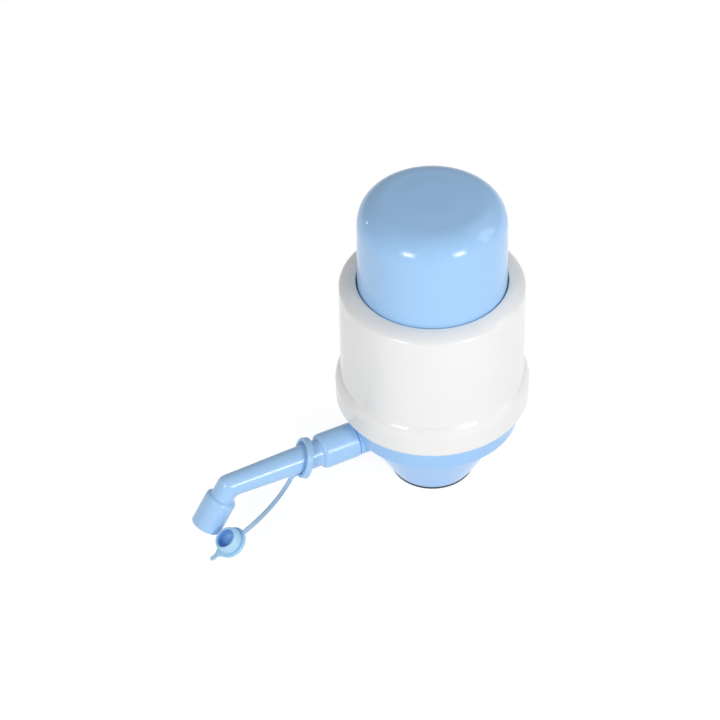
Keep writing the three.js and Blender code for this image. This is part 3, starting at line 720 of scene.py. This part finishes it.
def makeBellows():
    b = bellows
    foot, top = turnedSize("bellows")[1:]
    flangeTop = foot + b["flangeHeight"]
    foldsFoot = flangeTop + b["ringThickness"]
    foldsTop = top - b["flangeHeight"] - b["wall"]
    piece = turned("bellowsSleeve", [
        (b["root"] - b["wall"], foot),
        (b["flangeRadius"], foot, b["edge"]),
        (b["flangeRadius"], flangeTop, b["edge"]),
        (b["root"], flangeTop, b["edge"]),
        *foldWall(foldsFoot, foldsTop, 0),
        (b["root"], top, b["edge"]),
        (b["neckBore"], top, b["edge"]),
        (b["neckBore"], top - b["flangeHeight"], b["edge"]),
        (b["root"] - b["wall"], top - b["flangeHeight"]),
        *reversed(foldWall(foldsFoot, foldsTop, b["wall"])),
    ], midSides, pumpAxis)
    fitted(piece, bellowsRubber, "bellows_rubber", "pump_body", "bellows")
    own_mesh(piece)


makeBellows()
print("bellows done")

# Return spring: one wire with closed end turns
spring = {"radius": 16, "wire": 0.9, "turns": 10, "steps": 32, "endPitch": 2.4, "wireSides": 12}


def makeSpring():
    s = spring
    low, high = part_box("return_spring")
    foot = low.z / mm + s["wire"]
    top = high.z / mm - s["wire"]
    openPitch = (top - foot - 2 * s["endPitch"]) / (s["turns"] - 2)
    bm = bmesh.new()
    upright = Matrix.Translation((s["radius"], 0, foot)) @ Matrix.Rotation(math.pi / 2, 4, "X")
    wire = bmesh.ops.create_circle(
        bm, cap_ends=True, radius=s["wire"], segments=s["wireSides"], matrix=upright)
    endFace = wire["verts"][0].link_faces[0]
    for turns, pitch in ((1, s["endPitch"]), (s["turns"] - 2, openPitch), (1, s["endPitch"])):
        grown = bmesh.ops.spin(
            bm, geom=[endFace], cent=(0, 0, 0), axis=(0, 0, 1), dvec=(0, 0, pitch / s["steps"]),
            angle=turns * 2 * math.pi, steps=turns * s["steps"],
        )
        endFace = ofKind(grown["geom_last"], bmesh.types.BMFace)[0]
    bmesh.ops.remove_doubles(bm, verts=bm.verts, dist=weldGap)
    bmesh.ops.recalc_face_normals(bm, faces=bm.faces)
    piece = placed(bm, "returnSpringWire", pumpAxis)
    fitted(piece, steel, "steel", "pump_body", "return_spring")
    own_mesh(piece)


makeSpring()
print("return spring done")

# Spout: socket, tapering tube, mitred bend and nozzle, turned straight and then bent at its corner
spout = {
    "start": 41.9, "socketRadius": 8.3, "socketBore": 6.2, "socketFloor": 57.2, "socketEnd": 59.8,
    "shoulder": 2.2, "rootRadius": 6.4, "rootCrease": 0.25, "endRadius": 5.35, "bore": 3.9,
    "corner": 106, "drop": 58, "mitreRound": 1.7, "nozzleStart": 6.2, "nozzleShoulder": 1.9,
    "nozzleCrease": 0.7, "nozzleRadius": 7.3, "nozzleLength": 23, "mouthBore": 6.3, "mouthDepth": 12,
    "startEdge": 0.3, "edge": 0.45, "socketSteps": 8, "nozzleSteps": 10, "mitreSegments": 8,
}


def bendSpout(bm):
    # all past the corner turns down, the loops at the corner lean half as far, and are rounded
    s = spout
    drop = math.radians(s["drop"])
    past = [vert for vert in bm.verts if vert.co.z > s["corner"] + s["edge"]]
    corner = {vert for vert in bm.verts if abs(vert.co.z - s["corner"]) < s["edge"]}
    for vert in corner:
        vert.co.z += vert.co.x * math.tan(drop / 2)
    bmesh.ops.rotate(bm, cent=(0, 0, s["corner"]), matrix=Matrix.Rotation(-drop, 3, "Y"), verts=past)
    loops = [edge for edge in bm.edges if edge.verts[0] in corner and edge.verts[1] in corner]
    bevelled(bm, loops, s["mitreRound"], s["mitreSegments"], "EDGES")


def makeSpout():
    s = spout
    shoulderStart = s["corner"] + s["nozzleStart"]
    tip = s["corner"] + s["nozzleLength"]
    socketShoulder = curveTo(
        (s["socketRadius"], s["socketEnd"] - s["shoulder"]), (s["rootRadius"], s["socketEnd"]),
        s["socketSteps"],
    )
    nozzleShoulder = curveTo(
        (s["nozzleRadius"], shoulderStart + s["nozzleShoulder"]), (s["endRadius"], shoulderStart),
        s["nozzleSteps"],
    )
    crease = s["endRadius"] + s["nozzleCrease"]
    bm = bmesh.new()
    spinOutline(bm, [
        (s["socketBore"], s["start"], s["startEdge"]),
        (s["socketRadius"], s["start"], s["startEdge"]),
        *socketShoulder[:-2],
        (*socketShoulder[-1], s["rootCrease"]),
        (s["endRadius"], s["corner"]),
        (s["endRadius"], shoulderStart, s["nozzleCrease"]),
        *[point for point in reversed(nozzleShoulder) if point[0] > crease],
        (s["nozzleRadius"], tip, s["edge"]),
        (s["mouthBore"], tip, s["edge"]),
        (s["mouthBore"], tip - s["mouthDepth"] + s["mouthBore"] - s["bore"]),
        (s["bore"], tip - s["mouthDepth"]),
        (s["bore"], s["corner"]),
        (s["bore"], s["socketFloor"], s["edge"]),
        (s["socketBore"], s["socketFloor"], s["edge"]),
    ], smallSides)
    bendSpout(bm)
    piece = placed(bm, "spoutMoulding", spoutAxis)
    fitted(piece, spoutPlastic, "blue_plastic", "spout", "spout")


makeSpout()
print("spout done")

# Tether ring, hanging askew on the spout, with the stub that the strap grows from
tether = {
    "outerRadius": 9.486, "band": 1.7, "width": 2.9, "tilt": 16.7, "yaw": 12.5, "slid": 1.7,
    "bandRound": 0.3, "lipWidth": 1.2, "lipProud": 0.2, "gap": 0.3, "strapWidth": 2.4,
    "strapThickness": 1.4, "rootPull": 13.5, "endPull": 10, "rootPast": 2.2, "rootFlare": 1.3,
    "steps": 40, "sides": 16, "stubSteps": 10, "endSteps": 4,
}
dustCap = {
    "reach": 112.3, "side": 15.1, "height": 12.25, "tilt": 33, "turn": 4, "flangeRadius": 7.5,
    "flangeThickness": 1.2, "flangeEdge": 0.4, "plugFootRadius": 6.1, "plugRadius": 5.6,
    "plugBore": 4.4, "plugHeight": 6, "plugEdge": 1.0, "plugSharpness": 2.6, "boreEdge": 0.35,
    "grooveDepth": 0.25, "grooveWidth": 0.4, "hollowRound": 2.6, "tabLength": 5, "tabRootWidth": 6.4,
    "tabRootIn": 1.2, "tabNeckWidth": 1.7, "tabTipWidth": 2.3, "tabThickness": 0.9, "tabEdge": 0.25,
    "tabRoundShare": 0.95, "tabEdgeSegments": 3, "wallSteps": 12, "hollowSteps": 8, "stubSteps": 4,
    "shadeSlack": 0.1,
}


def capMatrix():
    d = dustCap
    middle = Vector((pumpX - d["reach"] * mm, -d["side"] * mm, d["height"] * mm))
    tilt = Matrix.Rotation(math.radians(-d["tilt"]), 4, "Y")
    turn = Matrix.Rotation(math.radians(-d["turn"]), 4, "Z")
    return Matrix.Translation(middle) @ tilt @ turn


def swept(bm, points, wide, thick, sides, flare=1):
    # an oval rod along the points, its thin way first lying along Y, closed with rounded ends
    last = len(points) - 1
    tangents = []
    for index in range(last + 1):
        ahead = points[min(index + 1, last)] - points[max(index - 1, 0)]
        tangents.append(ahead.normalized())
    swell = [1 + (flare - 1) * (1 - index / last) ** 2 for index in range(last + 1)]
    across = Vector((0, 1, 0))
    along = tangents[0]
    across = (across - along * across.dot(along)).normalized()
    frameStart = Matrix((across, along.cross(across), along)).transposed().to_4x4()
    loop = bmesh.ops.create_circle(bm, cap_ends=False, radius=flare, segments=sides)["verts"]
    bmesh.ops.scale(bm, vec=(thick / 2, wide / 2, 1), verts=loop)
    bmesh.ops.transform(bm, matrix=Matrix.Translation(points[0]) @ frameStart, verts=loop)
    edges = bm.edges[:]
    first = edges
    for index in range(1, last + 1):
        grown = bmesh.ops.extrude_edge_only(bm, edges=edges)["geom"]
        verts = ofKind(grown, bmesh.types.BMVert)
        edges = ofKind(grown, bmesh.types.BMEdge)
        bmesh.ops.translate(bm, vec=points[index] - points[index - 1], verts=verts)
        turn = tangents[index - 1].rotation_difference(tangents[index]).to_matrix()
        bmesh.ops.rotate(bm, cent=points[index], matrix=turn, verts=verts)
        size = swell[index] / swell[index - 1]
        bmesh.ops.scale(bm, vec=(size, size, size), space=Matrix.Translation(-points[index]), verts=verts)
    for ends, point, outward in ((first, points[0], -tangents[0]), (edges, points[-1], tangents[-1])):
        capOff(bm, ends, point, outward, thick / 2)
    bmesh.ops.recalc_face_normals(bm, faces=bm.faces)


def capOff(bm, edges, point, outward, depth):
    # a few shrinking loops make the end round
    steps = tether["endSteps"]
    for step in range(1, steps + 1):
        before, after = (step - 1) / steps * math.pi / 2, step / steps * math.pi / 2
        grown = bmesh.ops.extrude_edge_only(bm, edges=edges)["geom"]
        verts = ofKind(grown, bmesh.types.BMVert)
        edges = ofKind(grown, bmesh.types.BMEdge)
        here = point + outward * depth * math.sin(before)
        size = math.cos(after) / math.cos(before)
        bmesh.ops.scale(bm, vec=(size, size, size), space=Matrix.Translation(-here), verts=verts)
        shift = outward * depth * (math.sin(after) - math.sin(before))
        bmesh.ops.translate(bm, vec=shift, verts=verts)
    bmesh.ops.remove_doubles(bm, verts=verts, dist=tipWeldGap)


def makeTetherRing():
    t = tether
    half = t["width"] / 2
    inner = t["outerRadius"] - t["band"]
    outer = t["outerRadius"] - t["lipProud"]
    lipEnd = t["lipWidth"] - half
    bm = bmesh.new()
    spinOutline(bm, [
        (inner, -half, t["bandRound"]),
        (t["outerRadius"], -half, t["bandRound"]),
        (t["outerRadius"], lipEnd, t["bandRound"]),
        (outer, lipEnd + t["lipProud"]),
        (outer, half, t["bandRound"]),
        (inner, half, t["bandRound"]),
    ], midSides)
    turn = Matrix.Rotation(math.radians(-t["yaw"]), 4, "Z")
    lean = Matrix.Rotation(math.radians(t["tilt"] - 90), 4, "Y")
    place = Matrix.Translation(ringPlace + Vector((t["slid"] * mm, 0, 0))) @ turn @ lean
    piece = placed(bm, "tetherRingMoulding", place)
    # the stub leaves the lowest point of the band and curls down to where the strap bends
    foot = place @ Vector((-(t["outerRadius"] - t["band"] / 2) * mm, 0, 0)) / mm
    root = (strapPivot - ringPlace).normalized()
    pivot = strapPivot / mm
    pulls = [foot, pivot - root * t["rootPast"], pivot]
    points = []
    for step in range(t["stubSteps"] + 1):
        share = step / t["stubSteps"]
        points.append(pulls[0].lerp(pulls[1], share).lerp(pulls[1].lerp(pulls[2], share), share))
    stub = bmesh.new()
    swept(stub, points, t["strapWidth"], t["strapThickness"], t["sides"], t["rootFlare"])
    combined(piece, [placed(stub, "strapStub", Matrix.Identity(4))], "UNION")
    fitted(piece, softBlue, "soft_blue", "tether_ring", "tether_ring")


def makeStrap():
    t = tether
    capPlace = capMatrix()
    root = (strapPivot - ringPlace).normalized()
    end = (capPlace.to_3x3() @ Vector((1, 0, 0))).normalized()
    start = ringPlace / mm + root * (t["outerRadius"] + t["gap"])
    middle = capPlace @ Vector((0, 0, dustCap["flangeThickness"] / 2 * mm)) / mm
    finish = middle + end * (dustCap["flangeRadius"] + t["gap"])
    pulls = [start, start + root * t["rootPull"], finish + end * t["endPull"], finish]
    # the curve is the CAD strap's, and the piece starts on it where the strap bends
    pivotShare = (strapPivot / mm - start).length / (3 * t["rootPull"])
    points = []
    for step in range(t["steps"] + 1):
        share = pivotShare + (1 - pivotShare) * step / t["steps"]
        rest = 1 - share
        weights = (rest ** 3, 3 * rest ** 2 * share, 3 * rest * share ** 2, share ** 3)
        points.append(sum((pull * weight for pull, weight in zip(pulls, weights)), Vector()))
    bm = bmesh.new()
    swept(bm, points, t["strapWidth"], t["strapThickness"], t["sides"])
    piece = placed(bm, "tetherStrapMoulding", Matrix.Identity(4))
    # the strap gets the darker copy of the soft blue: painted shade
    fitted(piece, strapShadedBlue, "soft_blue", "tether_strap", "tether_strap")


makeTetherRing()
makeStrap()
print("tether done")


# Dust cap: flange, hollow plug with a soft rim, and a pull tab opposite the strap
def makeTab(place):
    d = dustCap
    half, neck, knob = d["tabRootWidth"] / 2, d["tabNeckWidth"] / 2, d["tabTipWidth"] / 2
    root = -d["flangeRadius"] + d["tabRootIn"]
    tip = -d["flangeRadius"] - d["tabLength"]
    side = [
        (root, half),
        (root - half, neck, (half - neck) * d["tabRoundShare"]),
        (tip + 3 * knob, neck, neck),
        (tip + 2 * knob, knob, neck),
        (tip, knob, knob * d["tabRoundShare"]),
    ]
    bm = bmesh.new()
    roundedWire(bm, side + [(point[0], -point[1], *point[2:]) for point in reversed(side)], True)
    bmesh.ops.contextual_create(bm, geom=bm.edges[:])
    grown = bmesh.ops.extrude_face_region(bm, geom=bm.faces[:])["geom"]
    verts = ofKind(grown, bmesh.types.BMVert)
    bmesh.ops.translate(bm, vec=(0, d["tabThickness"], 0), verts=verts)
    rims = [edge for edge in bm.edges if any(len(face.verts) > 4 for face in edge.link_faces)]
    bevelled(bm, rims, d["tabEdge"], d["tabEdgeSegments"], "EDGES")
    bmesh.ops.rotate(bm, cent=(0, 0, 0), matrix=Matrix.Rotation(math.pi / 2, 3, "X"), verts=bm.verts)
    bmesh.ops.recalc_face_normals(bm, faces=bm.faces)
    return placed(bm, "pullTab", place)


def makeDustCap():
    d = dustCap
    place = capMatrix()
    flangeTop = d["flangeThickness"]
    groove = d["plugFootRadius"] - d["grooveWidth"]
    wall = curveTo(
        (d["plugFootRadius"], flangeTop + d["grooveWidth"]),
        (d["plugRadius"] - d["plugEdge"], d["plugHeight"]), d["wallSteps"], d["plugSharpness"],
    )
    hollow = curveTo(
        (d["plugBore"], flangeTop + d["hollowRound"]), (d["plugBore"] - d["hollowRound"], flangeTop),
        d["hollowSteps"],
    )
    piece = turned("dustCapMoulding", [
        (0, 0),
        (d["flangeRadius"], 0, d["flangeEdge"]),
        (d["flangeRadius"], flangeTop, d["flangeEdge"]),
        (d["plugFootRadius"], flangeTop),
        (groove, flangeTop - d["grooveDepth"]),
        *wall,
        (d["plugBore"], d["plugHeight"], d["boreEdge"]),
        *hollow,
        (0, flangeTop),
    ], midSides, place)
    pivot = place.inverted() @ capPivot / mm
    foot = Vector((d["plugFootRadius"], 0, flangeTop / 2))
    points = [foot.lerp(pivot, step / d["stubSteps"]) for step in range(d["stubSteps"] + 1)]
    stub = bmesh.new()
    swept(stub, points, d["tabThickness"], tether["strapThickness"], tether["sides"], tether["rootFlare"])
    combined(piece, [makeTab(place), placed(stub, "capStub", place)], "UNION")
    # the lighter blue on the cap is painted light over the nozzle's shadow
    fitted(piece, capLitBlue, "soft_blue", "dust_cap", "dust_cap")
    # faces inside the plug's hollow get the darker blue: painted shade in the recess
    piece.data.materials.append(hollowShadeBlue)
    upright = place.inverted()
    shadeFoot = flangeTop - d["shadeSlack"]
    shadeTop = d["plugHeight"] - d["boreEdge"]
    for face in piece.data.polygons:
        spot = upright @ face.center / mm
        if spot.xy.length < d["plugBore"] and shadeFoot < spot.z < shadeTop:
            face.material_index = 1


makeDustCap()
print("dust cap done")

# Inner mouldings and screws keep the frame's own solids
innerFinishes = {
    "valve_plate": greyPlastic,
    "bellows_ring": greyPlastic,
    "bellows_plug": greyPlastic,
    "outlet_elbow": greyPlastic,
    "clamp_screw_1": steel,
    "clamp_screw_2": steel,
    "clamp_screw_3": steel,
}
for node, finish in innerFinishes.items():
    for holder in frame["nodes"][node].material_slots:
        holder.material = finish
print("inner pieces finished")
